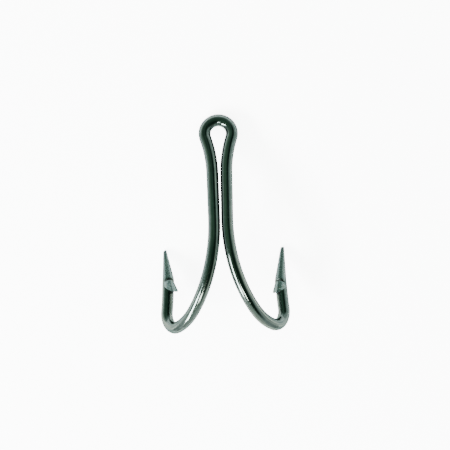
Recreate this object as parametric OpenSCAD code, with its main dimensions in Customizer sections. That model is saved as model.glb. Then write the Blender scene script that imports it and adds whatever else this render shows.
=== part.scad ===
// Double fishing hook made from one length of round wire. The wire is folded at its
// middle into an open eye, runs down as two free shanks side by side, and ends on each
// side in a bend, a barb raised from the wire and a round spear point. Every node is one
// stretch of that wire, and each meets the next one face to face.
//
// Millimetres and degrees. The hook lies as it rests on a table: on the eye and on the
// two tips, with its bends raised. The origin is the centre of the eye, +Z is up, +Y
// points from the bends past the eye, and +X is towards the right hook.

/* [Wire] */
// Diameter of the wire
wire_d = 3.4; // [2.8:0.05:3.5]

/* [Eye] */
// Radius of the eye, to the middle of the wire
eye_r = 3.85; // [3.6:0.01:4.2]
// Turn on each side of the eye's top before the wire starts to straighten
eye_turn = 108.2; // [106:0.1:110]
// Radius of the curve that brings each side of the eye onto its shank
neck_r = 34.1; // [32:0.1:36]

/* [Shanks] */
// Inward lean of each shank where the two run side by side
shank_lean = 0.6; // [0.4:0.05:0.9]
// Length of the straight part of each shank
shank_len = 12.8; // [10:0.1:16]
// Angle between each hook's own plane and the plane of the eye
hook_splay = 50; // [40:1:60]
// Radius of the long flare below the straight part
flare_r = 32.5; // [30:0.1:38]
// Turn of the long flare
flare_turn = 48.6; // [42:0.1:52]

/* [Bends] */
// Radius of the upper, open part of the bend
upper_bend_r = 15.5; // [14:0.1:18]
// Turn of the open part of the bend
upper_bend_turn = 31.9; // [28:0.1:36]
// Radius of the tight bottom of the bend
lower_bend_r = 4.27; // [3.8:0.01:5]
// Turn of the tight bottom of the bend
lower_bend_turn = 110.1; // [106:0.1:114]
// Radius of the front leg, which curves back outward a little towards the point
front_leg_r = 60; // [50:1:110]
// Length of the left front leg, from the bend to the start of the barb cut
left_leg_len = 4.45; // [3:0.05:7]
// Length of the right front leg
right_leg_len = 3.2; // [3:0.05:7]

/* [Points] */
// Length of the left point's cone
left_point_len = 8.7; // [7:0.1:11]
// Length of the right point's cone
right_point_len = 10; // [7:0.1:11]
// Outward tilt of the cone, which keeps the back of the point nearly straight
point_tilt = 14.5; // [10:0.5:16]
// Radius of the blunted tip
tip_r = 0.5; // [0.3:0.05:0.6]

/* [Barbs] */
// Length of the barb along the wire
barb_len = 2.9; // [2.4:0.1:3.4]
// How far the end of the left barb is lifted off the wire
left_barb_lift = 1.75; // [1:0.05:2]
// How far the end of the right barb is lifted off the wire
right_barb_lift = 1.25; // [1:0.05:2]
// Slant of the cut that frees the end of the barb
undercut = 28; // [15:1:35]
// Depth of the mark that the cut leaves in the wire under the barb
cut_depth = 0.45; // [0.2:0.05:0.7]
// Length of wire below the barb's end that the cut runs into
cut_len = 1.4; // [1.2:0.1:2]

/* [Hidden] */

$fn = 64;
wire_r = wire_d / 2;
neck_turn = eye_turn - 90 - shank_lean;
// The round wire carries the whole barb, and the point starts above it
point_base = barb_len + 0.4;
// The cut leaves the barb a little slimmer than the wire it was raised from
barb_r = wire_r - 0.06;
// Reach of the blocks that trim the barb and the point
trim = 8;

// A station is a 4 x 4 frame on the wire: its Z runs along the wire from the eye to the
// tip, and its X points to the side that the wire turns to
function shift(x, y, z) = [[1, 0, 0, x], [0, 1, 0, y], [0, 0, 1, z], [0, 0, 0, 1]];
function about_y(a) = [[cos(a), 0, sin(a), 0], [0, 1, 0, 0], [-sin(a), 0, cos(a), 0], [0, 0, 0, 1]];
function about_z(a) = [[cos(a), -sin(a), 0, 0], [sin(a), cos(a), 0, 0], [0, 0, 1, 0], [0, 0, 0, 1]];
function past_arc(r, a) = shift(r, 0, 0) * about_y(a) * shift(-r, 0, 0);
function front_leg_turn(leg_len) = leg_len / front_leg_r * 180 / PI;

eye_top = shift(0, 0, eye_r) * about_y(90);
neck_start = eye_top * past_arc(eye_r, eye_turn);
shank_start = neck_start * past_arc(-neck_r, -neck_turn);
// The hook turns away from the shank in its own plane, splayed from the eye's plane
flare_start = shank_start * shift(0, 0, shank_len) * about_z(180 - hook_splay);
upper_bend_start = flare_start * past_arc(flare_r, flare_turn);
lower_bend_start = upper_bend_start * past_arc(upper_bend_r, upper_bend_turn);
front_leg_start = lower_bend_start * past_arc(lower_bend_r, lower_bend_turn);
function barb_end(leg_len) =
    front_leg_start * past_arc(-front_leg_r, -front_leg_turn(leg_len)) * shift(0, 0, cut_len);

// The eye and the tips touch one plane when the eye's plane slopes by this angle
tip = barb_end(right_leg_len) * shift(0, 0, point_base) * about_y(-point_tilt) * [0, 0, right_point_len, 1];
drop = eye_r - tip.z;
lay_angle = acos((wire_r - tip_r) / norm([tip.y, drop])) - atan2(drop, tip.y);

// Straight wire along the station's Z
module straight_wire(length) {
    cylinder(d = wire_d, h = length);
}

// Wire that turns towards the station's +X
module bent_wire(r, turn) {
    translate([r, 0, 0])
        rotate([90, 0, 180])
            rotate_extrude(angle = turn)
                translate([r, 0])
                    circle(d = wire_d);
}

// Wire that turns towards the station's -X
module counter_bent_wire(r, turn) {
    mirror([1, 0, 0])
        bent_wire(r, turn);
}

// The fold in the middle of the wire
module eye() {
    color("#6b827a")
        rotate([90, 0, 0])
            rotate([0, 0, 90 - eye_turn])
                rotate_extrude(angle = 2 * eye_turn)
                    translate([eye_r, 0])
                        circle(d = wire_d);
}

// The gentle curve that closes the eye onto a shank
module neck() {
    color("#5c756c")
        multmatrix(neck_start)
            counter_bent_wire(neck_r, neck_turn);
}

// The straight that runs beside its partner
module shank() {
    color("#3d594f")
        multmatrix(shank_start)
            straight_wire(shank_len);
}

// The long curve that takes the hook away from its partner
module flare() {
    color("#36544a")
        multmatrix(flare_start)
            bent_wire(flare_r, flare_turn);
}

module upper_bend() {
    color("#4a675d")
        multmatrix(upper_bend_start)
            bent_wire(upper_bend_r, upper_bend_turn);
}

module lower_bend() {
    color("#6f877e")
        multmatrix(lower_bend_start)
            bent_wire(lower_bend_r, lower_bend_turn);
}

// The plain wire that rises from the bend to the barb
module front_leg(leg_len) {
    color("#4f6c62")
        multmatrix(front_leg_start)
            counter_bent_wire(front_leg_r, front_leg_turn(leg_len));
}

// Everything above the slanted cut under the barb, in the barb's own station
module above_undercut(lift) {
    translate([wire_r + lift, 0, 0])
        rotate([0, undercut, 0])
            translate([-trim, -trim / 2, 0])
                cube([2 * trim, trim, trim]);
}

// The mark left in the wire under the barb: steep at its top, shallow below
module cut_mark(lift) {
    mouth_z = lift * tan(undercut);
    slant = cut_depth * tan(undercut);
    rotate([90, 0, 0])
        translate([0, 0, -trim / 2])
            linear_extrude(trim)
                polygon([
                    [wire_r - cut_depth, mouth_z + slant],
                    [wire_r + cut_depth, mouth_z - slant],
                    [wire_r + cut_depth, -cut_len],
                    [wire_r, -cut_len / 2]
                ]);
}

// The round wire that the barb was cut from
module barb_seat(leg_len, lift) {
    color("#5c7d75")
        multmatrix(barb_end(leg_len))
            difference() {
                translate([0, 0, -cut_len])
                    straight_wire(cut_len + point_base);
                cut_mark(lift);
            }
}

// Round cone, tilted outward, with a blunted tip
module point(leg_len, point_len) {
    slope = (wire_r - tip_r) / point_len;
    color("#67887f")
        multmatrix(barb_end(leg_len)) {
            intersection() {
                translate([0, 0, point_base])
                    rotate([0, -point_tilt, 0])
                        translate([0, 0, -1])
                            cylinder(r1 = wire_r + slope, r2 = tip_r, h = point_len + 1);
                translate([-trim, -trim, point_base])
                    cube([2 * trim, 2 * trim, 2 * trim]);
            }
            translate([0, 0, point_base])
                rotate([0, -point_tilt, 0])
                    translate([0, 0, point_len])
                        sphere(r = tip_r);
        }
}

// The sliver of wire skin that is cut free at its lower end and lifted
module barb(leg_len, lift) {
    color("#78998f")
        multmatrix(barb_end(leg_len))
            difference() {
                intersection() {
                    translate([0, 0, barb_len])
                        rotate([0, -atan(lift / barb_len), 0])
                            translate([0, 0, -2 * barb_len])
                                cylinder(r = barb_r, h = 3 * barb_len);
                    above_undercut(lift);
                    translate([0, -trim / 2, 0])
                        cube([trim, trim, point_base]);
                }
                translate([0, 0, -cut_len])
                    straight_wire(cut_len + point_base + 1);
            }
}

// Lays the hook down on its eye and its two tips
module right() {
    rotate([-90 - lay_angle, 0, 0])
        children();
}

module left() {
    right()
        mirror([1, 0, 0])
            children();
}

right() eye();

left() neck();  // left_neck
left() shank();  // left_shank
left() flare();  // left_flare
left() upper_bend();  // left_upper_bend
left() lower_bend();  // left_lower_bend
left() front_leg(left_leg_len);  // left_front_leg
left() barb_seat(left_leg_len, left_barb_lift);  // left_barb_seat
left() barb(left_leg_len, left_barb_lift);  // left_barb
left() point(left_leg_len, left_point_len);  // left_point

right() neck();  // right_neck
right() shank();  // right_shank
right() flare();  // right_flare
right() upper_bend();  // right_upper_bend
right() lower_bend();  // right_lower_bend
right() front_leg(right_leg_len);  // right_front_leg
right() barb_seat(right_leg_len, right_barb_lift);  // right_barb_seat
right() barb(right_leg_len, right_barb_lift);  // right_barb
right() point(right_leg_len, right_point_len);  // right_point
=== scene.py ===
"""Looks of the double fishing hook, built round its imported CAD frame."""
import bpy
import math
from mathutils import Matrix, Vector, noise


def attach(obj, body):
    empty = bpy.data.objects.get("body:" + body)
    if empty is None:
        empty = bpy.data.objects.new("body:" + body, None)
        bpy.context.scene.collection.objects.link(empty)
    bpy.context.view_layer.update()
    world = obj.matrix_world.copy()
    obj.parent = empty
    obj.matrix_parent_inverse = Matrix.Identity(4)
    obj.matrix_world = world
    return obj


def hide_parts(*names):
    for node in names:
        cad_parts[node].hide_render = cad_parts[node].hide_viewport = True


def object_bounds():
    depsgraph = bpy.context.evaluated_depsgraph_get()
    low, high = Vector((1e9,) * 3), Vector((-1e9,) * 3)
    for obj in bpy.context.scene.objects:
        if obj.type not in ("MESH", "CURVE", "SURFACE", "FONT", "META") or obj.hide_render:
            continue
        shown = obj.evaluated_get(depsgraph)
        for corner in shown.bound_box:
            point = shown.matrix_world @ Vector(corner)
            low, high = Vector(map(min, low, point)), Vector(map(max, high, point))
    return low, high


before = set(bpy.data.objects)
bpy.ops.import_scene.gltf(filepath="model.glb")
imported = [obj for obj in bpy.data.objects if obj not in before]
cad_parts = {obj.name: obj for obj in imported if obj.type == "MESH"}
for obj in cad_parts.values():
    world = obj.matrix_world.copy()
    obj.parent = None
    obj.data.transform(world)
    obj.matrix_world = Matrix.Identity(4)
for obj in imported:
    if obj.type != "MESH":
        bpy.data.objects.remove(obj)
cad_low, cad_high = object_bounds()

MM = 0.001

# The wire and its bends, as in the CAD model, in millimetres and degrees
WIRE_R = 1.7
EYE_R = 3.85
EYE_TURN = 108.2
NECK_R = 34.1
SHANK_LEAN = 0.6
SHANK_LEN = 12.8
HOOK_SPLAY = 50
FLARE_R, FLARE_TURN = 32.5, 48.6
UPPER_BEND_R, UPPER_BEND_TURN = 15.5, 31.9
LOWER_BEND_R, LOWER_BEND_TURN = 4.27, 110.1
FRONT_LEG_R = 60
NECK_TURN = EYE_TURN - 90 - SHANK_LEAN

# The points and barbs. "slant" tilts the blunt end of the point, higher on the inside
CUT_LEN = 1.4
BARB_LEN = 2.9
POINT_BASE = BARB_LEN + 0.4
POINT_TILT = 14.5
TIP_R = 0.5
UNDERCUT = 28
CUT_DEPTH = 0.45
KINK_LEN = 1.2
SIDES = {
    "left": {"leg": 4.45, "point": 8.7, "lift": 1.75, "slant": 0.30, "mirror": -1},
    "right": {"leg": 3.2, "point": 10.0, "lift": 1.25, "slant": -0.12, "mirror": 1},
}

# Fineness of the meshes
WIRE_SIDES = 72
RING_STEP = 0.3
POINT_SIDES = 96
POINT_STEP = 0.075


# ---------------------------------------------------------------- stations on the wire

def shift(x, y, z):
    return Matrix.Translation((x, y, z))


def about(axis, degrees):
    return Matrix.Rotation(math.radians(degrees), 4, axis)


def past_arc(radius, turn):
    """The step along an arc that turns towards the station's +X."""
    return shift(radius, 0, 0) @ about("Y", turn) @ shift(-radius, 0, 0)


def smooth(low, high, x):
    t = min(1.0, max(0.0, (x - low) / (high - low)))
    return t * t * (3 - 2 * t)


class Stretch:
    """One straight or one arc of the wire, from its own start station."""

    def __init__(self, start, drawn_at, phase, length, radius=None, turn=0.0):
        self.start = start
        self.drawn_at = drawn_at
        self.phase = phase
        self.length = length
        self.radius = radius
        self.turn = turn

    def station(self, s):
        """The station a distance s along this stretch."""
        if self.radius is None:
            return self.start @ shift(0, 0, s)
        return self.start @ past_arc(self.radius, self.turn * s / self.length)


def wire_route(leg_len):
    """The right half of the wire as named stretches, from the middle of the eye on."""
    plan = (
        ("eye", EYE_R, EYE_TURN),
        ("neck", -NECK_R, -NECK_TURN),
        ("shank", None, SHANK_LEN),
        ("flare", FLARE_R, FLARE_TURN),
        ("upper_bend", UPPER_BEND_R, UPPER_BEND_TURN),
        ("lower_bend", LOWER_BEND_R, LOWER_BEND_TURN),
        ("front_leg", -FRONT_LEG_R, -math.degrees(leg_len / FRONT_LEG_R)),
        ("barb_seat", None, CUT_LEN + POINT_BASE),
    )
    here = shift(0, 0, EYE_R) @ about("Y", 90)
    drawn_at, phase = 0.0, 0.0
    route = {}
    for name, radius, amount in plan:
        if name == "flare":
            phase = 180 - HOOK_SPLAY
            here = here @ about("Z", phase)
        if radius is None:
            stretch = Stretch(here, drawn_at, phase, amount)
        else:
            stretch = Stretch(here, drawn_at, phase, math.radians(amount) * radius, radius, amount)
        route[name] = stretch
        here = stretch.station(stretch.length)
        drawn_at += stretch.length
    return route


def lay_angle(route):
    """Slope of the eye's plane when the hook rests on its eye and tips."""
    seat = route["barb_seat"]
    tip = seat.station(seat.length) @ about("Y", -POINT_TILT) @ Vector((0, 0, SIDES["right"]["point"]))
    drop = EYE_R - tip.z
    return math.degrees(math.acos((WIRE_R - TIP_R) / math.hypot(tip.y, drop)) - math.atan2(drop, tip.y))


ROUTES = {side: wire_route(size["leg"]) for side, size in SIDES.items()}
LAY = lay_angle(ROUTES["right"])
LAID = Matrix.Scale(MM, 4) @ about("X", -90 - LAY)


# ---------------------------------------------------------------- meshes

class Shell:
    """A closed skin in the hook's own frame, in millimetres, with its normals."""

    def __init__(self):
        self.points, self.normals, self.drawn, self.ground, self.painted_shade = [], [], [], [], []
        self.faces, self.face_normals = [], []

    def add(self, point, normal, drawn, ground=0.0, painted_shade=0.0):
        self.points.append(Vector(point))
        self.normals.append(Vector(normal).normalized())
        self.drawn.append(Vector(drawn))
        self.ground.append(ground)
        self.painted_shade.append(painted_shade)
        return len(self.points) - 1

    def face(self, corners, normal=None):
        self.faces.append(tuple(corners))
        self.face_normals.append(normal)

    def band(self, first, second):
        """Joins two rings, given anticlockwise round the way that they advance."""
        for k in range(len(first)):
            n = (k + 1) % len(first)
            self.face((first[k], first[n], second[n], second[k]))

    def cap(self, ring, normal, flip):
        """A flat fan over the end of a tube."""
        middle = sum((self.points[i] for i in ring), Vector()) / len(ring)
        drawn = sum((self.drawn[i] for i in ring), Vector()) / len(ring)
        centre = self.add(middle, normal, drawn)
        for k in range(len(ring)):
            corners = (ring[k], ring[(k + 1) % len(ring)], centre)
            self.face(corners[::-1] if flip else corners, Vector(normal))


def make_object(name, shell, mirror, node, material, shaded_by_angle=None):
    """Lays a shell down in the shared frame as the piece that stands for a CAD node."""
    place = LAID @ Matrix.Diagonal((mirror, 1, 1, 1))
    turn = place.to_3x3().normalized()
    mesh = bpy.data.meshes.new(name)
    faces = [f[::-1] for f in shell.faces] if mirror < 0 else shell.faces
    mesh.from_pydata([place @ p for p in shell.points], [], faces)
    mesh.polygons.foreach_set("use_smooth", [True] * len(mesh.polygons))
    drawn = mesh.attributes.new("drawn_wire", "FLOAT_VECTOR", "POINT")
    drawn.data.foreach_set("vector", [c for v in shell.drawn for c in (v.x, v.y, v.z * mirror)])
    # The painted_shade attribute darkens the barb's root groove and the cutter's mark, as painted shade
    for attribute, values in (("ground", shell.ground), ("painted_shade", shell.painted_shade)):
        mesh.attributes.new(attribute, "FLOAT", "POINT").data.foreach_set("value", values)
    if shaded_by_angle is None:
        corner_normals = []
        for polygon, flat in zip(mesh.polygons, shell.face_normals):
            for i in polygon.vertices:
                corner_normals.append((turn @ (flat or shell.normals[i])).normalized())
        mesh.normals_split_custom_set(corner_normals)
    else:
        mesh.set_sharp_from_angle(angle=math.radians(shaded_by_angle))
    mesh.materials.append(material)
    piece = bpy.data.objects.new(name, mesh)
    bpy.context.scene.collection.objects.link(piece)
    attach(piece, "root")
    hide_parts(node)
    return piece


def tube(stretch, start, end):
    """A closed round tube along part of one stretch."""
    shell = Shell()
    count = math.ceil((end - start) / RING_STEP)
    rings = []
    for i in range(count + 1):
        s = start + (end - start) * i / count
        station = stretch.station(s)
        ring = []
        for k in range(WIRE_SIDES):
            a = 2 * math.pi * k / WIRE_SIDES
            b = a + math.radians(stretch.phase)
            out = Vector((math.cos(a), math.sin(a), 0))
            drawn = (WIRE_R * math.cos(b), WIRE_R * math.sin(b), stretch.drawn_at + s)
            ring.append(shell.add(station @ (WIRE_R * out), station.to_3x3() @ out, drawn))
        rings.append(ring)
    for first, second in zip(rings, rings[1:]):
        shell.band(first, second)
    shell.cap(rings[0], stretch.station(start).to_3x3() @ Vector((0, 0, -1)), True)
    shell.cap(rings[-1], stretch.station(end).to_3x3() @ Vector((0, 0, 1)), False)
    return shell


# ---------------------------------------------------------------- points and barbs

# Distances here run along the wire from the barb's lower end
KINK_RADIUS = KINK_LEN / math.radians(POINT_TILT)
KINK_REACH = KINK_RADIUS * math.tan(math.radians(POINT_TILT / 2))
KINK_START = POINT_BASE - KINK_REACH
KINK_END = KINK_START + KINK_LEN
ROOT_TOP = BARB_LEN + 0.35
ROOT_FALL = 1.15
GROOVE_DEPTH = 0.14
GROOVE_WIDTH = 0.16
# The groove at the root is deepest at this angle round the wire
GROOVE_SIDE = math.radians(34)
FLAP_STEP = 0.1
# The cutter came in a little from the side, so the root is highest there
ROOT_SIDE = math.radians(18)
FLAP_HALF = math.radians(74)


def root_height(a):
    """Height of the barb's root at an angle round the wire."""
    return ROOT_TOP - ROOT_FALL * ((a - ROOT_SIDE) / 1.3) ** 2


class PointSkin:
    """The skin of the wire from under the barb to the tip, as a function of angle and distance."""

    def __init__(self, side):
        size, seat = SIDES[side], ROUTES[side]["barb_seat"]
        self.base = seat.station(CUT_LEN)
        self.drawn_at = seat.drawn_at + CUT_LEN
        self.phase = seat.phase
        self.lift = size["lift"]
        self.slant = size["slant"]
        self.end = KINK_END + size["point"] - KINK_REACH
        self.taper = (WIRE_R - TIP_R) / (self.end - POINT_BASE)
        self.mouth = self.lift * math.tan(math.radians(UNDERCUT))

    def station(self, s):
        if s <= KINK_START:
            return self.base @ shift(0, 0, s)
        kink_turn = -POINT_TILT * (min(s, KINK_END) - KINK_START) / KINK_LEN
        kinked = self.base @ shift(0, 0, KINK_START) @ past_arc(-KINK_RADIUS, kink_turn)
        return kinked @ shift(0, 0, max(0.0, s - KINK_END))

    def wire_radius(self, s):
        past = s - POINT_BASE
        eased = 0.5 * (past + math.hypot(past, 0.35))
        return WIRE_R - self.taper * min(eased, self.end - POINT_BASE)

    def local(self, a, s):
        """The skin in the plane of its station."""
        r = self.wire_radius(s)
        near_root = (s - root_height(a) - 0.12) / GROOVE_WIDTH
        inside = smooth(1.1, 0.5, abs(a - GROOVE_SIDE))
        r -= GROOVE_DEPTH * inside * math.exp(-near_root * near_root)
        x, y = r * math.cos(a), r * math.sin(a)
        depth = self.mark_depth(s)
        if depth > 0:
            x = min(x, WIRE_R - depth)
        return Vector((x, y, 0))

    def mark_depth(self, s):
        """Depth of the mark that the barb cutter left, shallow below and steep above."""
        top = self.mouth + CUT_DEPTH * math.tan(math.radians(UNDERCUT))
        if not -CUT_LEN / 2 < s < top + 0.25:
            return 0.0
        if s > top:
            return CUT_DEPTH * (1 - (s - top) / 0.25)
        rise = (s + CUT_LEN / 2) / (top + CUT_LEN / 2)
        return CUT_DEPTH * rise ** 0.8

    def point(self, a, s):
        return self.station(s) @ self.local(a, s)

    def painted_shade(self, a, s):
        """How much painted shade a place gets, from 0 to 1: most in the barb's root groove and in the
        cutter's mark, which are darkened as if shaded.
        """
        near_root = (s - root_height(a) - 0.08) / (1.5 * GROOVE_WIDTH)
        groove = smooth(1.1, 0.6, abs(a - GROOVE_SIDE)) * math.exp(-near_root * near_root)
        marked = self.mark_depth(s) > 0 and self.wire_radius(s) * math.cos(a) > WIRE_R - self.mark_depth(s)
        return max(groove, 0.7 if marked else 0.0)

    def normal(self, a, s):
        step = 0.012
        across = self.point(a + step, s) - self.point(a - step, s)
        along = self.point(a, s + step) - self.point(a, s - step)
        return across.cross(along).normalized()

    def drawn(self, a, s):
        b = a + math.radians(self.phase)
        r = self.wire_radius(s)
        return r * math.cos(b), r * math.sin(b), self.drawn_at + s

    def ring(self, shell, s, slanted=0.0):
        made = []
        for k in range(POINT_SIDES):
            a = 2 * math.pi * k / POINT_SIDES
            if a > math.pi:
                a -= 2 * math.pi
            t = s + slanted * math.cos(a)
            ground = smooth(POINT_BASE - 0.1, POINT_BASE + 0.5, t)
            made.append(shell.add(
                self.point(a, t), self.normal(a, t), self.drawn(a, t), ground, self.painted_shade(a, t)))
        return made


def seat_shell(side):
    """The wire that carries the barb, from the front leg to the start of the kink."""
    skin, shell = PointSkin(side), Shell()
    count = math.ceil((KINK_START + CUT_LEN) / POINT_STEP)
    steps = [-CUT_LEN + (KINK_START + CUT_LEN) * i / count for i in range(count + 1)]
    rings = [skin.ring(shell, s) for s in steps]
    for first, second in zip(rings, rings[1:]):
        shell.band(first, second)
    up = skin.station(0).to_3x3() @ Vector((0, 0, 1))
    shell.cap(rings[0], -up, True)
    shell.cap(rings[-1], up, False)
    return shell


def point_shell(side):
    """The round point, ground to a cone and blunted by a slanted cut."""
    skin, shell = PointSkin(side), Shell()
    last = skin.end - 0.1
    count = math.ceil((last - KINK_START) / (1.6 * POINT_STEP))
    rings = []
    for i in range(count + 1):
        t = i / count
        rings.append(skin.ring(shell, KINK_START + (last - KINK_START) * t, skin.slant * smooth(0.9, 1, t)))
    station = skin.station(last)
    for shrink, rise in ((0.93, 0.07), (0.8, 0.14), (0.5, 0.19)):
        ring = []
        for k, i in enumerate(rings[count]):
            a = 2 * math.pi * k / POINT_SIDES
            r = skin.wire_radius(last) * shrink
            out = Vector((math.cos(a), math.sin(a), 0))
            place = r * out + Vector((0, 0, rise + skin.slant * math.cos(a) * shrink))
            slope = Vector((math.cos(a) * shrink, math.sin(a) * shrink, 1.6 * (1 - shrink) + 0.25))
            ring.append(shell.add(station @ place, station.to_3x3() @ slope, shell.drawn[i], 1.0))
        rings.append(ring)
    for first, second in zip(rings, rings[1:]):
        shell.band(first, second)
    shell.cap(rings[0], skin.station(KINK_START).to_3x3() @ Vector((0, 0, -1)), True)
    top = Vector((-skin.slant * 1.4, 0, 1)).normalized()
    shell.cap(rings[-1], station.to_3x3() @ top, False)
    return shell


def barb_shell(side):
    """The sliver of wire raised by the cutter: a tongue with a sheared, slightly torn edge."""
    skin, shell = PointSkin(side), Shell()
    rise = skin.lift / BARB_LEN
    under = math.tan(math.radians(UNDERCUT))
    buried = WIRE_R * 0.62
    columns = 48
    outer_steps, face_steps = 26, 9
    rings = []
    for i in range(columns + 1):
        off = FLAP_HALF * (2 * i / columns - 1)
        a = ROOT_SIDE + off
        direction = Vector((math.cos(a), math.sin(a), 0))
        root = min(root_height(a), POINT_BASE)
        edge_fade = smooth(FLAP_HALF, FLAP_HALF * 0.8, abs(off))
        roof = max(0.0, math.cos(a)) ** 0.5
        torn = 0.06 * noise.noise(Vector((a * 4.0, skin.lift, 0.0)))

        def outer(z):
            height = FLAP_STEP * edge_fade + rise * roof * (root - z)
            return WIRE_R - 0.3 * (1 - edge_fade) + height * edge_fade

        low = 0.5
        for _ in range(12):
            low = (WIRE_R + skin.lift - outer(low) * math.cos(a)) * under + torn
        low = min(low, root - 0.05)
        profile = [(buried, root - 0.12), (outer(root) - 0.07, root)]
        for j in range(outer_steps + 1):
            t = j / outer_steps
            z = root - 0.05 + (low + 0.07 - root + 0.05) * t
            rough = 0.02 * noise.noise(Vector((a * 5.0, z * 2.2, skin.lift)))
            profile.append((outer(z) + rough * edge_fade, z))
        profile.append((outer(low) - 0.015, low + 0.02))
        tip_r = outer(low) - 0.06
        for j in range(face_steps + 1):
            t = j / face_steps
            r = tip_r + (buried - tip_r) * t
            z = low + (tip_r - r) * math.cos(a) * under
            grain = 0.022 * noise.noise(Vector((a * 9.0, r * 1.5, 7.0)))
            profile.append((r, min(z, root - 0.2) + grain * math.sin(math.pi * t)))
        ring = []
        for j, (r, z) in enumerate(profile):
            point = skin.base @ (r * direction + Vector((0, 0, z)))
            b = a + math.radians(skin.phase)
            drawn = (r * math.cos(b), r * math.sin(b), skin.drawn_at + z)
            # The first two points of each profile, on the barb's root step, get full painted shade,
            # darkened as if shaded in the groove
            ring.append(shell.add(point, (0, 0, 1), drawn, 0.0, 1.0 if j < 2 else 0.0))
        rings.append(ring)
    for first, second in zip(rings, rings[1:]):
        shell.band(first, second)
    shell.cap(rings[0], (0, 0, 1), True)
    shell.cap(rings[-1], (0, 0, 1), False)
    return shell


# ---------------------------------------------------------------- materials

class Nodes:
    """A short way to write a node tree."""

    def __init__(self, tree):
        self.tree = tree
        tree.nodes.clear()

    def add(self, kind, **inputs):
        node = self.tree.nodes.new(kind)
        for name, value in inputs.items():
            key = name.replace("_", " ")
            if key in node.inputs:
                self.feed(node.inputs[key], value)
            else:
                setattr(node, name, value)
        return node

    def feed(self, socket, value):
        if isinstance(value, bpy.types.NodeSocket):
            self.tree.links.new(value, socket)
        else:
            socket.default_value = value

    def math(self, operation, a, b=0.0, clamp=False):
        node = self.add("ShaderNodeMath", operation=operation, use_clamp=clamp)
        self.feed(node.inputs[0], a)
        self.feed(node.inputs[1], b)
        return node.outputs[0]

    def mix(self, factor, a, b):
        node = self.add("ShaderNodeMix", data_type="RGBA")
        self.feed(node.inputs[0], factor)
        self.feed(node.inputs[6], a)
        self.feed(node.inputs[7], b)
        return node.outputs[2]

    def remap(self, value, low, high, to_low=0.0, to_high=1.0):
        node = self.add("ShaderNodeMapRange", interpolation_type="SMOOTHSTEP")
        for socket, number in zip(node.inputs, (value, low, high, to_low, to_high)):
            self.feed(socket, number)
        return node.outputs[0]

    def scaled(self, vector, scale):
        node = self.add("ShaderNodeMapping", Vector=vector)
        node.inputs["Scale"].default_value = scale
        return node.outputs[0]

    def noise(self, vector, scale, detail=3.0, roughness=0.55):
        node = self.add("ShaderNodeTexNoise", Vector=vector)
        node.inputs["Scale"].default_value = scale
        node.inputs["Detail"].default_value = detail
        node.inputs["Roughness"].default_value = roughness
        return node.outputs["Fac"]

    def bump(self, height, strength, distance, normal=None):
        node = self.add("ShaderNodeBump", Height=height, Strength=strength, Distance=distance)
        if normal is not None:
            self.feed(node.inputs["Normal"], normal)
        return node.outputs[0]


# The plate is warmer along some of the drawing marks, and bluer where the point is ground
OLIVE = (0.165, 0.185, 0.145, 1)
GROUND_TEAL = (0.125, 0.175, 0.168, 1)


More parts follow.
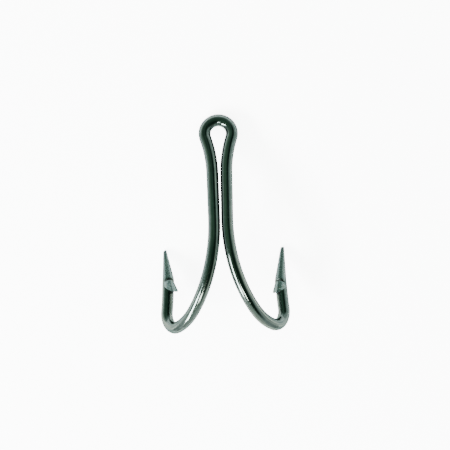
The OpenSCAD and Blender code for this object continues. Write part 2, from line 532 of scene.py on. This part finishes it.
def plated_metal(name, base, dark, pale, gloss, wear, grain):
    """Dark green-black plate over drawn steel. Lengths in the wire's own coordinates are millimetres."""
    material = bpy.data.materials.new(name)
    material.use_nodes = True
    n = Nodes(material.node_tree)
    wire = n.add("ShaderNodeAttribute", attribute_name="drawn_wire").outputs["Vector"]
    ground = n.add("ShaderNodeAttribute", attribute_name="ground").outputs["Fac"]
    painted_shade = n.add("ShaderNodeAttribute", attribute_name="painted_shade").outputs["Fac"]
    geometry = n.add("ShaderNodeNewGeometry")

    draw_lines = n.noise(n.scaled(wire, (5.0, 5.0, 0.10)), 1.0, 4.0, 0.7)
    fine_lines = n.noise(n.scaled(wire, (16.0, 16.0, 0.35)), 1.0, 2.0)
    bands = n.noise(n.scaled(wire, (1.5, 1.5, 0.03)), 1.0, 3.0, 0.6)
    clouds = n.noise(wire, 0.55, 4.0)
    mottle = n.noise(wire, 3.2, 5.0, 0.65)
    pits = n.remap(n.noise(wire, 7.5, 2.0), 0.69, 0.76)
    scratch_field = n.noise(n.scaled(wire, (9.0, 9.0, 1.3)), 1.0, 1.0)
    scratches = n.remap(n.math("ABSOLUTE", n.math("SUBTRACT", scratch_field, 0.5)), 0.0, 0.006, 1.0, 0.0)
    scratches = n.math("MULTIPLY", scratches, n.remap(mottle, 0.50, 0.62))

    deep = (*[0.45 * c for c in dark], 1)
    tint = n.mix(n.remap(clouds, 0.32, 0.68), (*dark, 1), (*base, 1))
    tint = n.mix(n.math("MULTIPLY", n.remap(mottle, 0.55, 0.8), 0.5), tint, (*pale, 1))
    tint = n.mix(n.math("MULTIPLY", n.remap(draw_lines, 0.52, 0.68), 0.40), tint, (*pale, 1))
    tint = n.mix(n.math("MULTIPLY", n.remap(draw_lines, 0.50, 0.34), 0.7), tint, deep)
    tint = n.mix(n.math("MULTIPLY", n.remap(bands, 0.52, 0.64), 0.55), tint, OLIVE)
    tint = n.mix(n.math("MULTIPLY", n.remap(bands, 0.48, 0.36), 0.6), tint, deep)
    tint = n.mix(n.math("MULTIPLY", scratches, 0.35), tint, (*pale, 1))
    edges = n.remap(geometry.outputs["Pointiness"], 0.53, 0.62)
    tint = n.mix(n.math("MULTIPLY", edges, wear), tint, (*pale, 1))
    tint = n.mix(n.math("MULTIPLY", pits, 0.6), tint, (*[0.4 * c for c in dark], 1))

    tint = n.mix(n.math("MULTIPLY", ground, 0.5), tint, GROUND_TEAL)
    # Painted shade: the barb's root groove and the cutter's mark are darkened almost to black, as their
    # shade would be, and are made rougher too
    tint = n.mix(n.math("MULTIPLY", painted_shade, 0.9), tint, (*[0.18 * c for c in dark], 1))

    rough = n.remap(mottle, 0.3, 0.75, gloss, gloss + 0.09)
    rough = n.math("ADD", rough, n.math("MULTIPLY", painted_shade, 0.3))
    rough = n.math("ADD", rough, n.math("MULTIPLY", pits, 0.25))
    rough = n.math("ADD", rough, n.math("MULTIPLY", ground, 0.14))
    rough = n.math("ADD", rough, n.math("MULTIPLY", edges, 0.1), clamp=True)

    # Grinding takes most of the drawing marks away
    calm = n.math("SUBTRACT", 1.0, n.math("MULTIPLY", ground, 0.8))
    normal = n.bump(n.math("MULTIPLY", draw_lines, calm), 0.16 + grain, 0.00003)
    normal = n.bump(n.math("MULTIPLY", fine_lines, calm), 0.18, 0.000010, normal)
    normal = n.bump(n.math("MULTIPLY", mottle, calm), 0.12 + grain, 0.000018, normal)
    grind = n.noise(n.scaled(wire, (2.5, 2.5, 9.0)), 1.0, 2.0)
    normal = n.bump(n.math("MULTIPLY", grind, ground), 0.12, 0.000012, normal)
    normal = n.bump(pits, -0.25, 0.000015, normal)

    shader = n.add("ShaderNodeBsdfPrincipled", Base_Color=tint, Roughness=rough, Normal=normal)
    shader.inputs["Metallic"].default_value = 1.0
    shader.inputs["Specular Tint"].default_value = (0.45, 0.50, 0.485, 1)
    output = n.add("ShaderNodeOutputMaterial")
    n.feed(output.inputs["Surface"], shader.outputs[0])
    return material


plated_wire = plated_metal(
    "plated_wire", base=(0.088, 0.112, 0.103), dark=(0.066, 0.088, 0.080), pale=(0.15, 0.18, 0.17),
    gloss=0.10, wear=0.3, grain=0.0)
cut_metal = plated_metal(
    "cut_metal", base=(0.105, 0.152, 0.143), dark=(0.085, 0.122, 0.114), pale=(0.165, 0.23, 0.22),
    gloss=0.20, wear=0.5, grain=0.3)


# ---------------------------------------------------------------- the hook

eye = ROUTES["right"]["eye"]
make_object("visual_eye", tube(eye, -eye.length, eye.length), 1, "eye", plated_wire)

for side, size in SIDES.items():
    mirror = size["mirror"]
    for part in ("neck", "shank", "flare", "upper_bend", "lower_bend", "front_leg"):
        stretch = ROUTES[side][part]
        shell = tube(stretch, 0.0, stretch.length)
        make_object(f"visual_{side}_{part}", shell, mirror, f"{side}_{part}", plated_wire)
    make_object(
        f"visual_{side}_barb_seat", seat_shell(side), mirror, f"{side}_barb_seat", plated_wire)
    make_object(
        f"visual_{side}_point", point_shell(side), mirror, f"{side}_point", plated_wire)
    make_object(
        f"visual_{side}_barb", barb_shell(side), mirror, f"{side}_barb", cut_metal,
        shaded_by_angle=38)

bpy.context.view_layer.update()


# ---------------------------------------------------------------- camera

# The camera faces the hook's flat side from a little below, in the hook's own frame
CAMERA_AZIMUTH = 1.675
CAMERA_RISE = 11.24
CAMERA_ROLL = 1.69
CAMERA_DISTANCE = 416.1
AIM = Vector((1.15, 0, -26.24))

azimuth, elevation, roll = (math.radians(x) for x in (CAMERA_AZIMUTH, CAMERA_RISE, CAMERA_ROLL))
level = Vector((math.cos(azimuth), math.sin(azimuth), 0))
away = Vector((
    -math.sin(azimuth) * math.cos(elevation),
    math.cos(azimuth) * math.cos(elevation),
    math.sin(elevation)))
upright = level.cross(away)

laid_turn = about("X", -90 - LAY).to_3x3()


def laid(direction):
    """A direction of the hook's own frame, in the shared frame."""
    return (laid_turn @ direction).normalized()


camera_data = bpy.data.cameras.new("camera")
camera_data.sensor_width = 36
camera_data.lens = 120
camera_data.clip_start = 0.01
camera_data.clip_end = 20
camera = bpy.data.objects.new("camera", camera_data)
bpy.context.scene.collection.objects.link(camera)
bpy.context.scene.camera = camera
backward = laid(-away)
sideways = laid(level * math.cos(roll) - upright * math.sin(roll))
upward = laid(level * math.sin(roll) + upright * math.cos(roll))
camera.matrix_world = Matrix.Translation(LAID @ (AIM - away * CAMERA_DISTANCE)) @ Matrix(
    (sideways, upward, backward)).transposed().to_4x4()


# ---------------------------------------------------------------- stage

middle = (cad_low + cad_high) / 2
span = (cad_high - cad_low).length

floor_mesh = bpy.data.meshes.new("floor")
FLOOR_HALF = 60 * span
floor_mesh.from_pydata(
    [(x * FLOOR_HALF, y * FLOOR_HALF, cad_low.z) for x, y in ((-1, -1), (1, -1), (1, 1), (-1, 1))],
    [], [(0, 1, 2, 3)])
floor = bpy.data.objects.new("floor", floor_mesh)
bpy.context.scene.collection.objects.link(floor)

floor_material = bpy.data.materials.new("floor_paint")
floor_material.use_nodes = True
n = Nodes(floor_material.node_tree)
paint = n.add("ShaderNodeBsdfDiffuse")
paint.inputs["Color"].default_value = (0.86, 0.87, 0.87, 1)
# The floor is overexposed, as a white sweep is in a catalogue picture, but only as the camera sees it
FLOOR_LIFT = 7.0
BACKDROP = (8, 8, 8, 1)
lifted = n.add("ShaderNodeEmission")
lifted.inputs["Color"].default_value = (1, 1, 1, 1)
seen = n.add("ShaderNodeLightPath").outputs["Is Camera Ray"]
n.feed(lifted.inputs["Strength"], n.math("MULTIPLY", seen, FLOOR_LIFT))
both = n.add("ShaderNodeAddShader")
n.feed(both.inputs[0], paint.outputs[0])
n.feed(both.inputs[1], lifted.outputs[0])
n.feed(n.add("ShaderNodeOutputMaterial").inputs["Surface"], both.outputs[0])
floor_mesh.materials.append(floor_material)


def softbox(name, towards, distance, width, height, power, in_reflections, spin=0.0):
    """A rectangular light that faces the middle of the hook."""
    data = bpy.data.lights.new(name, "AREA")
    data.shape = "RECTANGLE"
    data.size, data.size_y = width, height
    data.energy = power
    lamp = bpy.data.objects.new(name, data)
    bpy.context.scene.collection.objects.link(lamp)
    lamp.rotation_mode = "QUATERNION"
    lamp.rotation_quaternion = (-towards).to_track_quat("-Z", "Y") @ about("Z", spin).to_quaternion()
    lamp.location = middle + towards * distance
    lamp.visible_glossy = in_reflections
    lamp.visible_camera = False
    return lamp


def seen_from_camera(angle, x, y):
    """The direction a given angle off the camera's axis, towards (x, y) in the picture."""
    side = (sideways * x + upward * y).normalized()
    return (backward * math.cos(math.radians(angle)) + side * math.sin(math.radians(angle))).normalized()


softbox("window", seen_from_camera(63, -0.76, -0.65), 1.0, 0.20, 0.62, 42, True, spin=80)
softbox("low_window", seen_from_camera(44, -0.15, -0.99), 1.0, 0.26, 0.14, 5, True)
softbox("overhead", Vector((0, 0, 1)), 1.2, 1.6, 1.6, 38, False)

world = bpy.data.worlds.new("studio")
bpy.context.scene.world = world
world.use_nodes = True
n = Nodes(world.node_tree)
direction = n.add("ShaderNodeTexCoord").outputs["Generated"]
# The dark ceiling over the camera leans a little to its left
ceiling = seen_from_camera(10, -1, 0)
height = n.add("ShaderNodeVectorMath", operation="DOT_PRODUCT")
n.feed(height.inputs[0], direction)
height.inputs[1].default_value = ceiling
ramp = n.add("ShaderNodeValToRGB", Fac=height.outputs["Value"])
ramp.color_ramp.interpolation = "EASE"
stops = (
    (0.0, (1.75, 1.9, 1.87, 1)), (0.46, (1.45, 1.75, 1.66, 1)),
    (0.62, (0.38, 0.62, 0.50, 1)), (1.0, (0.22, 0.44, 0.30, 1)))
ramp.color_ramp.elements[0].position, ramp.color_ramp.elements[0].color = stops[0]
ramp.color_ramp.elements[1].position, ramp.color_ramp.elements[1].color = stops[-1]
for position, color in stops[1:-1]:
    ramp.color_ramp.elements.new(position).color = color
sky = ramp.outputs["Color"]
# Two dark patches to the right of the camera: a wide one low down, and a small one high up
patches = (
    (seen_from_camera(33, 0.71, -0.71), 0.72, 0.93),
    (seen_from_camera(31, 0.72, 0.70), 0.93, 0.98))
for patch, edge, core in patches:
    facing = n.add("ShaderNodeVectorMath", operation="DOT_PRODUCT")
    n.feed(facing.inputs[0], direction)
    facing.inputs[1].default_value = patch
    sky = n.mix(n.remap(facing.outputs["Value"], edge, core), sky, (0.05, 0.12, 0.08, 1))
# Above the floor the backdrop is as white as the floor
seen = n.add("ShaderNodeLightPath").outputs["Is Camera Ray"]
background = n.add("ShaderNodeBackground", Color=n.mix(seen, sky, BACKDROP), Strength=1.0)
n.feed(n.add("ShaderNodeOutputWorld").inputs["Surface"], background.outputs[0])
